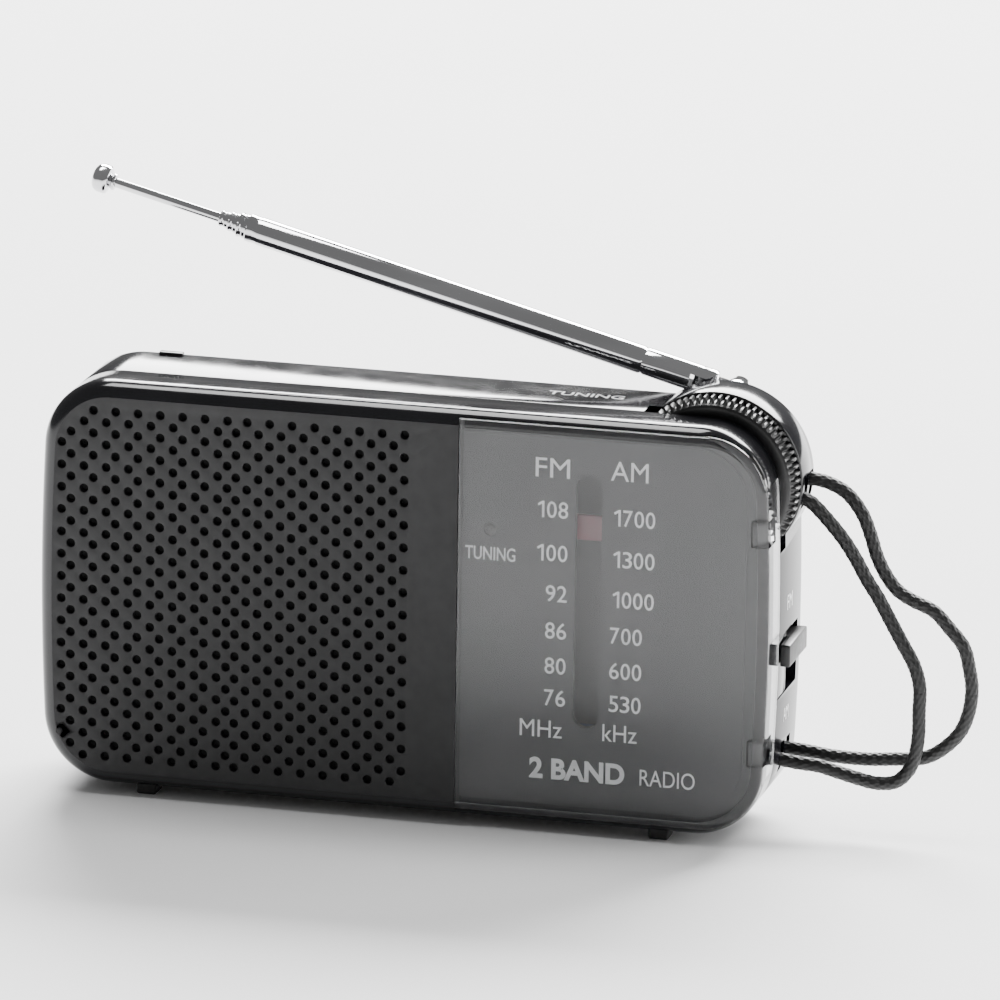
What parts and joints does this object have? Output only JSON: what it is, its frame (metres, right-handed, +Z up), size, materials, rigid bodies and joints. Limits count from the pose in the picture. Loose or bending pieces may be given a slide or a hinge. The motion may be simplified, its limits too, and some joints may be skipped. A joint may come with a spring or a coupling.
{
  "type": "pocket radio",
  "caption": "Two-band AM/FM pocket radio with a perforated speaker panel, clear dial window, edge tuning wheel, telescopic rod antenna, battery door and wrist strap.",
  "frame": {"origin": "in the plane of the feet, under the middle of the case", "axes": "+X to the right along the front, +Y from the front to the back, +Z up"},
  "size_m": [0.152, 0.0268, 0.0985],
  "materials": {
    "case_black": "glossy black moulded plastic",
    "panel_black": "fine matte texture",
    "control_black": "satin black",
    "foot_black": "matte rubber",
    "window_clear": "clear polished plastic",
    "dial_grey": "satin dark grey",
    "print_white": "printed ink",
    "pointer_red": "satin red",
    "lamp_dark": "unlit lamp",
    "steel": "plain steel",
    "chrome": "polished chrome",
    "brass": "plain brass",
    "magnet_dark": "dark ferrite",
    "cone_paper": "dark paper",
    "board_brown": "phenolic board",
    "part_pale": "pale nylon",
    "part_dark": "moulded component",
    "coil_copper": "enamelled wire",
    "cell_wrap": "plain printed wrap",
    "string_pale": "waxed dial cord",
    "strap_black": "braided nylon"
  },
  "bodies": {
    "root": {"front_shell": "case_black", "speaker_grille": "panel_black", "rear_shell": "case_black", "rubber_feet": "foot_black", "case_screws": "steel", "dial_window": "window_clear", "dial_plate": "dial_grey", "power_lamp": "lamp_dark", "speaker_frame": "steel", "speaker_cone": "cone_paper", "speaker_cap": "cone_paper", "speaker_magnet": "magnet_dark", "circuit_board": "board_brown", "tuning_capacitor": "part_pale", "if_cans": "steel", "electrolytics": "part_dark", "amplifier_chip": "part_dark", "ferrite_rod": "magnet_dark", "ferrite_coil": "coil_copper", "dial_cord": "string_pale", "cord_pulley": "part_pale", "pulley_post": "steel", "pointer_rail": "steel", "volume_control": "board_brown", "band_switch": "steel", "earphone_jack": "part_dark", "battery_cells": "cell_wrap", "battery_springs": "steel", "battery_plates": "steel", "strap_cord": "strap_black", "strap_knots": "strap_black"},
    "tuning": {"tuning_wheel": "control_black", "cord_drum": "part_pale", "tuning_screw": "brass"},
    "pointer": {"dial_pointer": "pointer_red"},
    "volume": {"volume_wheel": "control_black", "volume_screw": "brass"},
    "band_slider": {"band_knob": "control_black"},
    "door": {"battery_door": "case_black"},
    "antenna_swivel": {"antenna_base": "chrome"},
    "antenna_first": {"antenna_fork": "chrome", "antenna_pin": "chrome", "antenna_tube_1": "chrome"},
    "antenna_second": {"antenna_tube_2": "chrome"},
    "antenna_third": {"antenna_tube_3": "chrome"},
    "antenna_fourth": {"antenna_tube_4": "chrome"},
    "antenna_last": {"antenna_rod": "chrome", "antenna_tip": "chrome"}
  },
  "joints": [
    {"name": "tuning_turn", "type": "hinge", "parent": "root", "child": "tuning", "pos_m": [0.0483, -0.003, 0.0574], "axis": [0, 1, 0], "range_deg": [-164, 16]},
    {"name": "pointer_slide", "type": "slide", "parent": "root", "child": "pointer", "axis": [0, 0, 1], "range_m": [-0.02747, 0.00268]},
    {"name": "volume_turn", "type": "hinge", "parent": "root", "child": "volume", "pos_m": [-0.0525, 0.002, 0.05005], "axis": [0, 1, 0], "range_deg": [-150, 150]},
    {"name": "band_slide", "type": "slide", "parent": "root", "child": "band_slider", "axis": [0, 0, -1], "range_m": [0, 0.0036]},
    {"name": "door_slide", "type": "slide", "parent": "root", "child": "door", "axis": [1, 0, 0], "range_m": [0, 0.006]},
    {"name": "antenna_turn", "type": "hinge", "parent": "root", "child": "antenna_swivel", "pos_m": [0.0487, 0.0106, 0.0688], "axis": [0, 1, 0], "range_deg": [-14.5, 75.5]},
    {"name": "antenna_lean", "type": "hinge", "parent": "antenna_swivel", "child": "antenna_first", "pos_m": [0.04357, 0.0106, 0.07013], "axis": [-0.2504, 0, -0.9681], "range_deg": [0, 90]},
    {"name": "antenna_slide_2", "type": "slide", "parent": "antenna_first", "child": "antenna_second", "axis": [-0.9681, 0, 0.2504], "range_m": [0, 0.065]},
    {"name": "antenna_slide_3", "type": "slide", "parent": "antenna_second", "child": "antenna_third", "axis": [-0.9681, 0, 0.2504], "range_m": [0, 0.065]},
    {"name": "antenna_slide_4", "type": "slide", "parent": "antenna_third", "child": "antenna_fourth", "axis": [-0.9681, 0, 0.2504], "range_m": [0, 0.065]},
    {"name": "antenna_slide_5", "type": "slide", "parent": "antenna_fourth", "child": "antenna_last", "axis": [-0.9681, 0, 0.2504], "range_m": [-0.018, 0.048]}
  ],
  "couplings": [
    {"joint": "tuning_turn", "follows": "pointer_slide", "rad_per_m": 104.17}
  ]
}
